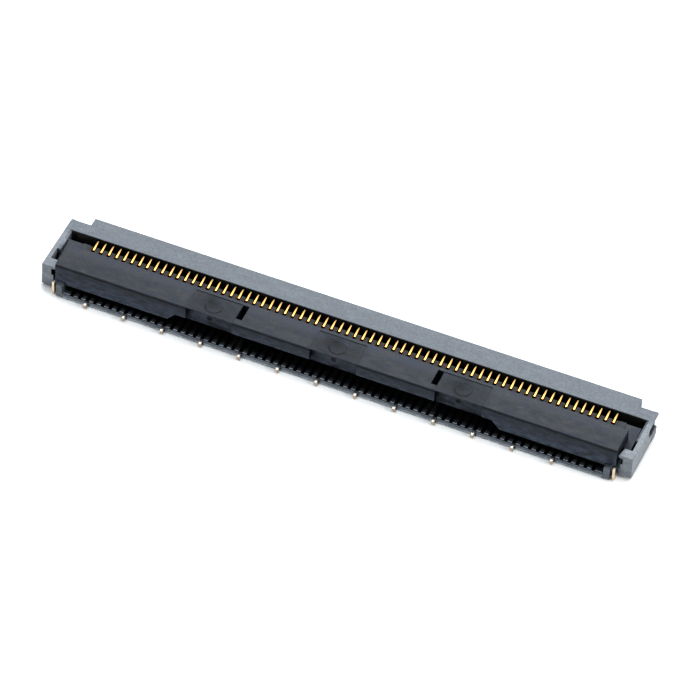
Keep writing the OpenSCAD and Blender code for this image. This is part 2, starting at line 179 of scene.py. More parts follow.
# The housing: one moulding of mid grey glass-filled liquid crystal polymer, with the comb in its
# floor, the roof over the contacts and the thin end walls. Matt, slightly cloudy where the melt
# flowed, with paler edges that are partly wear and partly a painted highlight. The grain is drawn
# coarser than the real one, to show.
HOUSING_GREY = "#64686c"
HOUSING_CLOUD = "#52565c"
HOUSING_EDGE_HIGHLIGHT_AND_WEAR = "#6b6e73"
HOUSING_ROUGH = 0.55
HOUSING_CLOUD_MM = 0.55
HOUSING_GRAIN_MM = 0.13
HOUSING_GRAIN_DEPTH_MM = 0.008
FLOW_SCALE = (0.45, 1.0, 1.0)
CLOUD_STOPS = (0.35, 0.65)
GRAIN_STOPS = (0.3, 0.7)
GRAIN_SHADES = (0.8, 1.2)
GRAIN_BUMP = 0.6
EDGE_MM = 0.035
EDGE_HIGHLIGHT_AND_WEAR_STOPS = (0.98, 0.75)
ROUGH_SPREAD = 0.28
POLYMER_IOR = 1.6


def moulded_plastic(name, body, cloud, edge, roughness, cloud_mm, grain_mm, grain_depth_mm):
    """Filled engineering plastic: two cloudy shades, a fine grain, paler edges of wear and painted
    highlight.
    """
    material, tree, shader = new_material(name)
    here = add(tree, "ShaderNodeTexCoord")
    along = add(
        tree, "ShaderNodeMapping", inputs={"Scale": FLOW_SCALE}, links={"Vector": here.outputs["Object"]}
    )
    clouds = add(
        tree, "ShaderNodeTexNoise",
        inputs={"Scale": per_mm(cloud_mm), "Detail": 5.0, "Roughness": 0.6},
        links={"Vector": along.outputs["Vector"]},
    )
    shades = add(tree, "ShaderNodeValToRGB", links={"Fac": clouds.outputs["Fac"]})
    set_stops(shades, (cloud, body), CLOUD_STOPS)
    grain = add(
        tree, "ShaderNodeTexNoise",
        inputs={"Scale": per_mm(grain_mm), "Detail": 2.0, "Roughness": 0.7},
        links={"Vector": here.outputs["Object"]},
    )
    speckle = add(
        tree, "ShaderNodeMapRange",
        inputs={"From Min": GRAIN_STOPS[0], "From Max": GRAIN_STOPS[1],
                "To Min": GRAIN_SHADES[0], "To Max": GRAIN_SHADES[1]},
        links={"Value": grain.outputs["Fac"]},
    )
    speckled = add(
        tree, "ShaderNodeVectorMath", {"operation": "SCALE"},
        links={0: shades.outputs["Color"], "Scale": speckle.outputs["Result"]},
    )
    rounded = add(tree, "ShaderNodeBevel", {"samples": 6}, {"Radius": EDGE_MM * MM})
    flat = add(tree, "ShaderNodeNewGeometry")
    turned = add(
        tree, "ShaderNodeVectorMath", {"operation": "DOT_PRODUCT"},
        links={0: rounded.outputs["Normal"], 1: flat.outputs["Normal"]},
    )
    # The paler edges are partly wear and partly a painted highlight along the rounded edges, patchy with
    # the clouds.
    edge_highlight_and_wear = add(
        tree, "ShaderNodeMapRange",
        inputs={"From Min": EDGE_HIGHLIGHT_AND_WEAR_STOPS[0], "From Max": EDGE_HIGHLIGHT_AND_WEAR_STOPS[1], "To Min": 0.0, "To Max": 1.0},
        links={"Value": turned.outputs["Value"]},
    )
    patchy = add(
        tree, "ShaderNodeMath", {"operation": "MULTIPLY"},
        links={0: edge_highlight_and_wear.outputs["Result"], 1: clouds.outputs["Fac"]},
    )
    paler = add(
        tree, "ShaderNodeMix", {"data_type": "RGBA"},
        links={"Factor": patchy.outputs["Value"], "A": speckled.outputs["Vector"]},
    )
    paler.inputs["B"].default_value = linear(edge)
    tree.links.new(paler.outputs["Result"], shader.inputs["Base Color"])
    sheen_change = add(
        tree, "ShaderNodeMapRange",
        inputs={"To Min": roughness - ROUGH_SPREAD, "To Max": roughness + ROUGH_SPREAD},
        links={"Value": clouds.outputs["Fac"]},
    )
    tree.links.new(sheen_change.outputs["Result"], shader.inputs["Roughness"])
    texture = add(
        tree, "ShaderNodeBump",
        inputs={"Strength": GRAIN_BUMP, "Distance": grain_depth_mm * MM},
        links={"Height": grain.outputs["Fac"], "Normal": rounded.outputs["Normal"]},
    )
    tree.links.new(texture.outputs["Normal"], shader.inputs["Normal"])
    shader.inputs["IOR"].default_value = POLYMER_IOR
    return material


def finish_node(name, material):
    """Gives a CAD node the real finish in place of its plain one."""
    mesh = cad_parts[name].data
    mesh.materials.clear()
    mesh.materials.append(material)


grey_polymer = moulded_plastic(
    "moulded_grey_liquid_crystal_polymer", HOUSING_GREY, HOUSING_CLOUD, HOUSING_EDGE_HIGHLIGHT_AND_WEAR,
    HOUSING_ROUGH, HOUSING_CLOUD_MM, HOUSING_GRAIN_MM, HOUSING_GRAIN_DEPTH_MM,
)

# Painted shade: the comb's grooves and the floor under the actuator are darkened where its shadow
# falls and the narrow grooves keep light out. The shade fades in behind the front edge of the floor.
# The tips of the comb get a painted highlight, and the floor's foot a painted reflection of the table.
COMB_TOP = 0.40
COMB_HALF = 17.3
COMB_FRONT = -2.76
COMB_FADE = 0.45
COMB_TIP = 0.1
DEEP_PAINTED_SHADE = (0.12, 0.12, 0.12)
TIP_PAINTED_HIGHLIGHT = (2.8, 2.8, 2.8)
FOOT_LOW_Z = 0.05
FOOT_TOP_Z = 0.22
FOOT_PAINTED_REFLECTION = (2.7, 2.7, 2.6)


def point_in(tree):
    """The sockets of a point's X, its distance from the middle along X, its Y and its Z."""
    here = add(tree, "ShaderNodeTexCoord")
    place = add(tree, "ShaderNodeSeparateXYZ", links={"Vector": here.outputs["Object"]})
    across = add(tree, "ShaderNodeMath", {"operation": "ABSOLUTE"}, links={0: place.outputs["X"]})
    return place.outputs["X"], across.outputs["Value"], place.outputs["Y"], place.outputs["Z"]


def region(tree, *parts, unit=MM):
    """A mask that is 1 in one place: the product of other masks and of ramps along sockets.

    A ramp is a socket with the values, in millimetres or another unit, where it is 0 and 1. They lie
    a few hundredths of a millimetre apart where the place has a crisp edge.
    """
    result = None
    for part in parts:
        mask = part
        if isinstance(part, tuple):
            socket, nought, full = part
            ramp = add(
                tree, "ShaderNodeMapRange",
                inputs={"From Min": nought * unit, "From Max": full * unit},
                links={"Value": socket},
            )
            mask = ramp.outputs["Result"]
        if result is None:
            result = mask
        else:
            both = add(tree, "ShaderNodeMath", {"operation": "MULTIPLY"}, links={0: result, 1: mask})
            result = both.outputs["Value"]
    return result


def blend_input(tree, shader, name, mask, end, kind):
    """Moves what feeds one of the shader's inputs towards an end value where the mask is 1."""
    before = shader.inputs[name].links[0].from_socket
    mix = add(tree, "ShaderNodeMix", kind, links={"Factor": mask})
    a, b = [i for i in mix.inputs if i.enabled and i.name in "AB"]
    tree.links.new(before, a)
    b.default_value = end
    tree.links.new([o for o in mix.outputs if o.enabled][0], shader.inputs[name])


def shade_where(tree, shader, mask, red, green, blue):
    """Multiplies the base colour where the mask is 1 and keeps its cloudiness."""
    kind = {"data_type": "RGBA", "blend_type": "MULTIPLY"}
    blend_input(tree, shader, "Base Color", mask, (red, green, blue, 1.0), kind)


def roughen_where(tree, shader, mask, roughness):
    """Sets the roughness where the mask is 1."""
    blend_input(tree, shader, "Roughness", mask, roughness, {"data_type": "FLOAT"})


tree = grey_polymer.node_tree
shader = tree.nodes["Principled BSDF"]
_, across_at, y_at, z_at = point_in(tree)
in_row = region(tree, (across_at, COMB_HALF + 0.02, COMB_HALF))
in_comb = region(
    tree, in_row,
    (z_at, COMB_TOP + 0.02, COMB_TOP),
    (y_at, COMB_FRONT + COMB_TIP, COMB_FRONT + COMB_TIP + 0.03),
    (y_at, COMB_FRONT - 0.08, COMB_FRONT + COMB_FADE),
)
on_tips = region(
    tree, in_row,
    (z_at, COMB_TOP - 0.02, COMB_TOP - 0.01),
    (z_at, COMB_TOP + 0.02, COMB_TOP + 0.01),
    (y_at, COMB_FRONT + COMB_TIP + 0.02, COMB_FRONT + COMB_TIP),
)
on_foot = region(
    tree, in_row,
    (y_at, COMB_FRONT + 0.02, COMB_FRONT + 0.01),
    (z_at, FOOT_TOP_Z, FOOT_LOW_Z),
)
in_grooves = region(
    tree, in_row,
    (z_at, COMB_TOP - 0.02, COMB_TOP - 0.04),
    (y_at, COMB_FRONT + 0.03, COMB_FRONT + 0.06),
)
comb_shades = (
    (in_comb, DEEP_PAINTED_SHADE), (on_tips, TIP_PAINTED_HIGHLIGHT), (on_foot, FOOT_PAINTED_REFLECTION), (in_grooves, DEEP_PAINTED_SHADE),
)
for mask, shade in comb_shades:
    shade_where(tree, shader, mask, *shade)

# The end blocks and end walls get painted light. The chamber that holds the contacts under the roof
# gets painted shade, warmed as if by light coming back from the gold, and the walls of the pockets
# beside the low tabs get painted light.
END_X = 18.1
END_FADE = 0.4
END_PAINTED_LIGHT = (1.45, 1.42, 1.38)
WELL_REAR = 1.166
WELL_HALF = 18.52
WELL_DEPTH = 0.5
ROOF_TOP = 1.70
WELL_PAINTED_SHADE = (0.45, 0.4, 0.3)
POCKET_X = 18.67
POCKET_FRONT = -1.53
POCKET_REAR = -0.6
POCKET_DARK_Z = 0.9
POCKET_PALE_Z = 1.6
POCKET_PAINTED_LIGHT = "#d3d7dd"
on_ends = region(
    tree,
    (across_at, END_X, END_X + 0.05),
    (y_at, WELL_REAR, WELL_REAR - END_FADE),
)
shade_where(tree, shader, on_ends, *END_PAINTED_LIGHT)
in_well = region(
    tree,
    (across_at, WELL_HALF + 0.02, WELL_HALF),
    (z_at, ROOF_TOP, ROOF_TOP - 0.04),
    (y_at, WELL_REAR - 0.03, WELL_REAR - 0.02),
    (y_at, WELL_REAR + WELL_DEPTH + 0.1, WELL_REAR + WELL_DEPTH),
)
shade_where(tree, shader, in_well, *WELL_PAINTED_SHADE)
in_pocket = region(
    tree,
    (across_at, POCKET_X - 0.02, POCKET_X - 0.01),
    (across_at, POCKET_X + 0.02, POCKET_X + 0.01),
    (y_at, POCKET_FRONT, POCKET_FRONT + 0.02),
    (y_at, POCKET_REAR, POCKET_REAR - 0.02),
    (z_at, POCKET_DARK_Z, POCKET_PALE_Z),
    (z_at, ROOF_TOP, ROOF_TOP - 0.03),
)
blend_input(tree, shader, "Base Color", in_pocket, linear(POCKET_PAINTED_LIGHT), {"data_type": "RGBA"})

# Painted shade: the locking notches in the end blocks and the slots in the outer walls are darkened
# as the comb's grooves are, since little light reaches into them.
NOTCH_X = 18.2
NOTCH_DEPTH = 0.12
NOTCH_LOW_Z = 1.075
NOTCH_TOP_Z = 1.525
SLOT_FLOOR_X = 18.75
SLOT_DEPTH = 0.2
SLOT_LOW_Z = 0.78
SLOT_TOP_Z = 1.56
SLOT_FRONT_Y = 0.54
SLOT_PAINTED_SHADE = (0.3, 0.3, 0.3)
in_notch = region(
    tree,
    (across_at, NOTCH_X, NOTCH_X + 0.02),
    (across_at, NOTCH_X + NOTCH_DEPTH + 0.03, NOTCH_X + NOTCH_DEPTH + 0.02),
    (z_at, NOTCH_LOW_Z - 0.01, NOTCH_LOW_Z),
    (z_at, NOTCH_TOP_Z + 0.01, NOTCH_TOP_Z),
)
shade_where(tree, shader, in_notch, *DEEP_PAINTED_SHADE)
in_slot = region(
    tree,
    (across_at, SLOT_FLOOR_X + SLOT_DEPTH - 0.03, SLOT_FLOOR_X + SLOT_DEPTH / 2),
    (across_at, SLOT_FLOOR_X - 0.02, SLOT_FLOOR_X - 0.01),
    (y_at, SLOT_FRONT_Y, SLOT_FRONT_Y + 0.02),
    (z_at, SLOT_LOW_Z, SLOT_LOW_Z + 0.02),
    (z_at, SLOT_TOP_Z + 0.01, SLOT_TOP_Z),
)
shade_where(tree, shader, in_slot, *SLOT_PAINTED_SHADE)
finish_node("housing", grey_polymer)

# The signal contacts: 68 springs stamped from copper alloy sheet and gold plated, pressed into the
# housing from the rear. Each hooks over the actuator's rod. Stamping leaves them round at the
# edges, and they taper from the tip of the hook towards the roof.
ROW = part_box("signal_contacts_01")
CONTACTS = 68
PITCH = 0.5
CONTACT_T = 0.18
CONTACT_EDGE = 0.08
TIP_WIDENING = 1.04
TIP_ROUND = 0.16
TIP_FLATTENING = 0.8
TAPER_FROM_Y = 0.42
TAPER_TO_Y = 1.2
TAPER_LEFT = 0.68
ARM_TOP = ROW[1].z / MM
ARM_T = 0.18
ARM_FALL_Y = 0.8
ARM_FALL = 0.035
ARM_TAPER = 0.03
TAIL_END = ROW[1].y / MM
POINT_TIP = ROW[0].y / MM
PIVOT_Y = 0.35
PIVOT_Z = 1.0
ROD_CLEAR = 0.3
HOOK_TIP = 0.31
HOOK_DROP = 0.1
NOSE_R = 0.075
UNDER_ARM_Y = 0.85
ROOF_EDGE_Y = 1.166
ROOT_Y = 1.95
ROOT_SLANT = 0.25
ROOT_TOP_DROP = 0.45
ROOT_LOW_RISE = 0.3
ROOT_END = 2.47
FLOOR_Z = 0.395
GROOVE_Z = 0.235
LOW_ARM_DROP = 0.03
POINT_HALF = 0.25
POINT_RAMP = 0.75
POINT_CROWN = ((0.1, 0.13), (-0.05, 0.14))
POINT_CHIN_Y = 0.15
POINT_CHIN = 0.06
TAIL_Y = 2.25
TAIL_SLANT = 0.1
TAIL_T = 0.15
TAIL_FILLET = (0.05, 0.08)
SMOOTH_ANGLE = 40


def arc(centre_y, centre_z, radius, start, end, steps):
    """Points on an arc in the plane of Y and Z, in millimetres, with its angles in degrees."""
    points = []
    for k in range(steps + 1):
        a = math.radians(start + (end - start) * k / steps)
        points.append((centre_y + radius * math.cos(a), centre_z + radius * math.sin(a)))
    return points


def stamped(name, outline, thickness, edge, segments):
    """A piece stamped from sheet: its outline in Y and Z given its thickness along X, round edges."""
    shape = bmesh.new()
    ring = [shape.verts.new((-thickness / 2 * MM, y * MM, z * MM)) for y, z in outline]
    face = shape.faces.new(ring)
    pushed = bmesh.ops.extrude_face_region(shape, geom=[face])
    moved = [v for v in pushed["geom"] if isinstance(v, bmesh.types.BMVert)]
    bmesh.ops.translate(shape, verts=moved, vec=(thickness * MM, 0, 0))
    bmesh.ops.recalc_face_normals(shape, faces=shape.faces)
    rims = [e for e in shape.edges if abs(e.verts[0].co.x - e.verts[1].co.x) < thickness * MM / 2]
    bmesh.ops.bevel(
        shape, geom=rims, offset=edge * MM, segments=segments, profile=0.5,
        affect="EDGES", clamp_overlap=True,
    )
    mesh = bpy.data.meshes.new(name)
    shape.to_mesh(mesh)
    shape.free()
    mesh.shade_smooth()
    mesh.set_sharp_from_angle(angle=math.radians(SMOOTH_ANGLE))
    return mesh


def row_of(name, template, count, pitch, first_x, material):
    """Copies a stamped piece along the row with Geometry Nodes and returns one plain mesh object."""
    tree = bpy.data.node_groups.new(name + "_row", "GeometryNodeTree")
    sockets = {"Geometry": "NodeSocketGeometry", "Count": "NodeSocketInt",
               "Pitch": "NodeSocketFloat", "First X": "NodeSocketFloat"}
    made = {n: tree.interface.new_socket(n, in_out="INPUT", socket_type=k) for n, k in sockets.items()}
    tree.interface.new_socket("Geometry", in_out="OUTPUT", socket_type="NodeSocketGeometry")
    given = add(tree, "NodeGroupInput")
    start = add(tree, "ShaderNodeCombineXYZ", links={"X": given.outputs["First X"]})
    step = add(tree, "ShaderNodeCombineXYZ", links={"X": given.outputs["Pitch"]})
    line = add(
        tree, "GeometryNodeMeshLine",
        links={"Count": given.outputs["Count"], "Start Location": start.outputs["Vector"],
               "Offset": step.outputs["Vector"]},
    )
    placed = add(
        tree, "GeometryNodeInstanceOnPoints",
        links={"Points": line.outputs["Mesh"], "Instance": given.outputs["Geometry"]},
    )
    real = add(tree, "GeometryNodeRealizeInstances", links={"Geometry": placed.outputs["Instances"]})
    dressed = add(
        tree, "GeometryNodeSetMaterial", inputs={"Material": material},
        links={"Geometry": real.outputs["Geometry"]},
    )
    add(tree, "NodeGroupOutput", links={"Geometry": dressed.outputs["Geometry"]})
    source = bpy.data.objects.new(name + "_template", template)
    bpy.context.scene.collection.objects.link(source)
    nodes = source.modifiers.new("row", "NODES")
    nodes.node_group = tree
    nodes[made["Count"].identifier] = count
    nodes[made["Pitch"].identifier] = pitch * MM
    nodes[made["First X"].identifier] = first_x * MM
    evaluated = source.evaluated_get(bpy.context.evaluated_depsgraph_get())
    mesh = bpy.data.meshes.new_from_object(evaluated)
    bpy.data.objects.remove(source)
    mesh.name = name
    piece = bpy.data.objects.new(name, mesh)
    bpy.context.scene.collection.objects.link(piece)
    return piece


# Electroplated gold over a rolled sheet: a warm mirror, a little uneven, dulled by fine rolling
# marks, which are drawn coarser than the real ones, to show. Painted shade darkens the right flanks
# and the faces under the hooks' tips, standing for the dark plastic they reflect, and the arms under
# the roof. A painted highlight brightens the left flanks.
GOLD_SHADES = ("#cfa268", "#dfb278")
GOLD_UNEVEN_MM = 1.2
GOLD_ROUGH = (0.24, 0.4)
GOLD_ROLLED_MM = 0.04
GOLD_ROLLED_DEPTH_MM = 0.001
GOLD_BUMP = 0.15
HOOK_LOW_Z = 1.36
FLANK_TURN = (-0.1, 0.6)
RIGHT_FLANK_PAINTED_SHADE = (0.2, 0.18, 0.16)
NOSE_TURN = (-0.3, -0.7)
NOSE_PAINTED_SHADE = (0.22, 0.2, 0.19)
LEFT_TURN = (-0.1, -0.6)
LEFT_FLANK_PAINTED_HIGHLIGHT = (1.4, 1.5, 1.8)
ROOF_FROM_Y = 0.35
ROOF_TO_Y = 1.0
ROOF_OUT_Y = 2.35
UNDER_ROOF_PAINTED_SHADE = (0.3, 0.38, 0.48)


def facing_in(tree, kind):
    """The X, Y and Z sockets of the surface's direction, smooth or true."""
    facing = add(tree, "ShaderNodeNewGeometry")
    ways = add(tree, "ShaderNodeSeparateXYZ", links={"Vector": facing.outputs[kind]})
    return [ways.outputs[k] for k in "XYZ"]


def plate(tree, shader, uneven, roughness, marks_mm, bump, depth_mm):
    """Makes the shader a plated metal: unevenly dull, with the sheet's fine marks in relief."""
    shader.inputs["Metallic"].default_value = 1.0
    dulled = add(
        tree, "ShaderNodeMapRange",
        inputs={"To Min": roughness[0], "To Max": roughness[1]},
        links={"Value": uneven.outputs["Fac"]},
    )
    tree.links.new(dulled.outputs["Result"], shader.inputs["Roughness"])
    here = add(tree, "ShaderNodeTexCoord")
    marks = add(
        tree, "ShaderNodeTexNoise",
        inputs={"Scale": per_mm(marks_mm), "Detail": 2.0},
        links={"Vector": here.outputs["Object"]},
    )
    texture = add(
        tree, "ShaderNodeBump",
        inputs={"Strength": bump, "Distance": depth_mm * MM},
        links={"Height": marks.outputs["Fac"]},
    )
    tree.links.new(texture.outputs["Normal"], shader.inputs["Normal"])


gold_plating, tree, shader = new_material("bright_gold_plating_on_stamped_copper_alloy")
here = add(tree, "ShaderNodeTexCoord")
uneven = add(
    tree, "ShaderNodeTexNoise",
    inputs={"Scale": per_mm(GOLD_UNEVEN_MM), "Detail": 2.0},
    links={"Vector": here.outputs["Object"]},
)
golds = add(tree, "ShaderNodeValToRGB", links={"Fac": uneven.outputs["Fac"]})
set_stops(golds, GOLD_SHADES)
tree.links.new(golds.outputs["Color"], shader.inputs["Base Color"])
_, _, y_at, z_at = point_in(tree)
x_way, y_way, _ = facing_in(tree, "Normal")
under_roof = region(
    tree,
    (y_at, ROOF_FROM_Y, ROOF_TO_Y),
    (y_at, ROOF_OUT_Y, ROOF_OUT_Y - 0.1),
)
on_hook = region(tree, (z_at, HOOK_LOW_Z, HOOK_LOW_Z + 0.12))
on_flank = region(tree, on_hook, (x_way, *FLANK_TURN), unit=1)
on_left_flank = region(tree, on_hook, (x_way, *LEFT_TURN), unit=1)
on_nose = region(tree, on_hook, (y_way, *NOSE_TURN), unit=1)
gold_shades = (
    (under_roof, UNDER_ROOF_PAINTED_SHADE), (on_flank, RIGHT_FLANK_PAINTED_SHADE), (on_nose, NOSE_PAINTED_SHADE), (on_left_flank, LEFT_FLANK_PAINTED_HIGHLIGHT),
)
for mask, shade in gold_shades:
    shade_where(tree, shader, mask, *shade)
plate(tree, shader, uneven, GOLD_ROUGH, GOLD_ROLLED_MM, GOLD_BUMP, GOLD_ROLLED_DEPTH_MM)

hook_top = ARM_TOP - HOOK_DROP
arm_under = ARM_TOP - ARM_T
low_arm_top = FLOOR_Z - LOW_ARM_DROP
point_y = POINT_TIP + POINT_HALF
upper_arm = (
    [(ROOT_END, ARM_TOP), (ROOF_EDGE_Y, ARM_TOP), (ARM_FALL_Y, ARM_TOP - ARM_FALL)]
    + arc(HOOK_TIP + NOSE_R, hook_top - NOSE_R, NOSE_R, 80, 180, 5)
    + arc(PIVOT_Y, PIVOT_Z, ROD_CLEAR, 98, 60, 5)
    + [(UNDER_ARM_Y, arm_under), (ROOT_Y - ROOT_SLANT, arm_under - ARM_TAPER)]
)
root = [(ROOT_Y, ARM_TOP - ROOT_TOP_DROP), (ROOT_Y, low_arm_top + ROOT_LOW_RISE)]
lower_arm = (
    [(ROOT_Y - ROOT_SLANT, low_arm_top), (point_y + POINT_RAMP, low_arm_top)]
    + [(point_y + y, FLOOR_Z + z) for y, z in POINT_CROWN]
    + [(point_y - POINT_HALF, FLOOR_Z), (point_y - POINT_HALF, GROOVE_Z + POINT_CHIN)]
    + [(point_y - POINT_CHIN_Y, GROOVE_Z), (TAIL_Y, GROOVE_Z)]
)
solder_tail = [
    (TAIL_Y, TAIL_T), (TAIL_Y + TAIL_SLANT, 0), (TAIL_END, 0), (TAIL_END, TAIL_T),
    (ROOT_END + TAIL_FILLET[0], TAIL_T), (ROOT_END, TAIL_T + TAIL_FILLET[1]),
]
contact_outline = upper_arm + root + lower_arm + solder_tail
contact_mesh = stamped("signal_contact", contact_outline, CONTACT_T, CONTACT_EDGE, 3)
for vertex in contact_mesh.vertices:
    y, z = vertex.co.y / MM, vertex.co.z / MM
    if z > PIVOT_Z + ROD_CLEAR:
        share = min(1.0, max(0.0, (y - TAPER_FROM_Y) / (TAPER_TO_Y - TAPER_FROM_Y)))
        short_of_round = min(1.0, max(0.0, (HOOK_TIP + TIP_ROUND - y) / TIP_ROUND))
        tip_left = math.sqrt(1 - TIP_FLATTENING * short_of_round**2)
        vertex.co.x *= TIP_WIDENING * (1 - share * (1 - TAPER_LEFT)) * tip_left
row_start = -(CONTACTS - 1) * PITCH / 2
signal_contacts = row_of("signal_contacts", contact_mesh, CONTACTS, PITCH, row_start, gold_plating)
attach(signal_contacts, "base")
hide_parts(*[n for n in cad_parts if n.startswith("signal_contacts_")])

# The ground contacts: 13 springs from the same sheet, tin plated, in the comb ahead of every fifth
# signal contact. Their tails come out at the front edge and are soldered there.
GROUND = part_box("ground_contact_01")
GROUNDS = 13
GROUND_STEP = 5
GROUND_FIRST = 3
GROUND_FRONT = GROUND[0].y / MM
GROUND_REAR = GROUND[1].y / MM
GROUND_EDGE = 0.03
GROUND_ARM_T = 0.09
GROUND_TAIL_Z = 0.385
GROUND_TAIL_R = 0.07
GROUND_BEND = (-0.04, 0.1)
GROUND_UNDERBEND = (-0.06, 0.12)
GROUND_TIP_T = 0.04
SPRING_BACK = 0.4
SPRING_FOOT = 0.45
SPRING_CROWN = (-0.1, 0.05)
SPRING_RISE = 0.1

# Matt tin over copper alloy: near-white on the rolled faces, and warm copper pink where the strip
# was sheared after plating, which is on the ends that face forward. Its fine grain is drawn coarser
# than the real one, to show. In the comb it gets a painted shade, nearly black, and the tails are
# painted darker and cooler low down.
TIN_SHADES = ("#d6cfc6", "#ece7e0")
COPPER_SHADES = ("#d6bea2", "#ead9c2")
TIN_UNEVEN_MM = 0.2
TIN_ROUGH = (0.32, 0.5)
TIN_GRAIN_MM = 0.05
TIN_GRAIN_DEPTH_MM = 0.003
TIN_BUMP = 0.4
SHEARED_STOPS = (-0.35, -0.75)
SHEARED_MOST = 0.85
GROOVE_PAINTED_SHADE = (0.03, 0.03, 0.03)
TAIL_PALE_Z = 0.38
TAIL_DARK_Z = 0.22
TAIL_LOW_DARKENING = (0.62, 0.66, 0.75)

tin_plating, tree, shader = new_material("tin_plating_with_bare_copper_edges")
here = add(tree, "ShaderNodeTexCoord")
uneven = add(
    tree, "ShaderNodeTexNoise",
    inputs={"Scale": per_mm(TIN_UNEVEN_MM), "Detail": 3.0},
    links={"Vector": here.outputs["Object"]},
)
tins = add(tree, "ShaderNodeValToRGB", links={"Fac": uneven.outputs["Fac"]})
set_stops(tins, TIN_SHADES)
coppers = add(tree, "ShaderNodeValToRGB", links={"Fac": uneven.outputs["Fac"]})
set_stops(coppers, COPPER_SHADES)
_, y_way, _ = facing_in(tree, "Normal")
sheared = add(
    tree, "ShaderNodeMapRange",
    inputs={"From Min": SHEARED_STOPS[0], "From Max": SHEARED_STOPS[1],
            "To Min": 0.0, "To Max": SHEARED_MOST},
    links={"Value": y_way},
)
both = add(
    tree, "ShaderNodeMix", {"data_type": "RGBA"},
    links={"Factor": sheared.outputs["Result"], "A": tins.outputs["Color"],
           "B": coppers.outputs["Color"]},
)
tree.links.new(both.outputs["Result"], shader.inputs["Base Color"])
_, across_at, y_at, z_at = point_in(tree)
in_row = region(tree, (across_at, COMB_HALF + 0.02, COMB_HALF))
in_groove = region(
    tree, in_row,
    (y_at, COMB_FRONT + 0.1, COMB_FRONT + 0.2),
    (z_at, FLOOR_Z + 0.14, FLOOR_Z + 0.1),
)
shade_where(tree, shader, in_groove, *GROOVE_PAINTED_SHADE)
on_tail = region(
    tree, in_row,
    (y_at, COMB_FRONT + 0.02, COMB_FRONT),
    (z_at, TAIL_PALE_Z, TAIL_DARK_Z),
    (z_at, 0.0, 0.12),
)
shade_where(tree, shader, on_tail, *TAIL_LOW_DARKENING)
plate(tree, shader, uneven, TIN_ROUGH, TIN_GRAIN_MM, TIN_BUMP, TIN_GRAIN_DEPTH_MM)

spring_y = GROUND_REAR - SPRING_BACK
spring_top = FLOOR_Z + SPRING_RISE
ground_arm_top = GROOVE_Z + GROUND_ARM_T
ground_outline = (
    [(GROUND_FRONT, 0), (GROUND_FRONT, GROUND_TAIL_Z - GROUND_TAIL_R)]
    + arc(GROUND_FRONT + GROUND_TAIL_R, GROUND_TAIL_Z - GROUND_TAIL_R, GROUND_TAIL_R, 170, 90, 3)
    + [(COMB_FRONT + GROUND_BEND[0], GROUND_TAIL_Z)]
    + [(COMB_FRONT + GROUND_BEND[1], ground_arm_top), (spring_y - SPRING_FOOT, ground_arm_top)]
    + [(spring_y + y, spring_top) for y in SPRING_CROWN]
    + [(GROUND_REAR, GROOVE_Z + GROUND_TIP_T), (GROUND_REAR, GROOVE_Z)]
    + [(COMB_FRONT + GROUND_UNDERBEND[1], GROOVE_Z), (COMB_FRONT + GROUND_UNDERBEND[0], 0)]
)
ground_mesh = stamped("ground_contact", ground_outline, CONTACT_T, GROUND_EDGE, 2)
ground_pitch = GROUND_STEP * PITCH
ground_start = row_start + (GROUND_FIRST - 1) * PITCH
ground_contacts = row_of(
    "ground_contacts", ground_mesh, GROUNDS, ground_pitch, ground_start, tin_plating
)
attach(ground_contacts, "base")
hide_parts(*[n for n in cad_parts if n.startswith("ground_contact_")])

# The fittings: a strip stamped from the same tin-plated alloy, on edge in a slot beside each rail.
# Its foot is soldered to the board, and its front edge shows beside the end block.
for name in ("fitting_left", "fitting_right"):
    finish_node(name, tin_plating)

# The actuator: one moulding of charcoal glass-filled polymer that flips up on its trunnions. It is
# about as matt as the housing, with faint flow streaks along it, paler edges that are partly wear
# and partly a painted highlight, and a painted highlight along its ridge. Its grain too is drawn
# coarser than the real one, to show.
ACTUATOR_CHARCOAL = "#2f3541"
ACTUATOR_CLOUD = "#151920"
ACTUATOR_EDGE_HIGHLIGHT_AND_WEAR = "#5a6069"
ACTUATOR_ROUGH = 0.57
ACTUATOR_CLOUD_MM = 0.3
ACTUATOR_GRAIN_MM = 0.1
ACTUATOR_GRAIN_DEPTH_MM = 0.022
charcoal_polymer = moulded_plastic(
    "moulded_charcoal_glass_filled_polymer", ACTUATOR_CHARCOAL, ACTUATOR_CLOUD, ACTUATOR_EDGE_HIGHLIGHT_AND_WEAR,
    ACTUATOR_ROUGH, ACTUATOR_CLOUD_MM, ACTUATOR_GRAIN_MM, ACTUATOR_GRAIN_DEPTH_MM,
)
tree = charcoal_polymer.node_tree
shader = tree.nodes["Principled BSDF"]
x_at, across_at, y_at, z_at = point_in(tree)

# Three gate inserts with a spark-eroded face leave a duller, darker patch behind each recess. A
# painted shade draws a dark line along its rear edge, where a small step faces away from the light,
# and the faces of the recesses get painted light.
PANELS = 3
PANEL_PITCH = 8.0
PANEL_HALF = 1.5
PANEL_REAR = -0.75
PANEL_LOW_Z = 2.15
PANEL_SOFT = 0.35
PANEL_SHADE = (0.66, 0.67, 0.7)
PANEL_ROUGH = 0.62
PANEL_EDGE_PAINTED_SHADE = (0.45, 0.45, 0.45)
PANEL_EDGE_ROUGH = 0.74
RECESS_FACE = -1.925
RECESS_TOP_Z = 2.12
RECESS_FACE_PAINTED_LIGHT = (1.7, 1.6, 1.4)
from_middle = add(
    tree, "ShaderNodeMath", {"operation": "PINGPONG"},
    inputs={1: PANEL_PITCH / 2 * MM}, links={0: x_at},
).outputs["Value"]
panels_half = PANELS * PANEL_PITCH / 2
near_panels = region(tree, (across_at, panels_half + 0.02, panels_half))
on_top = region(tree, (z_at, PANEL_LOW_Z, PANEL_LOW_Z + 0.02))
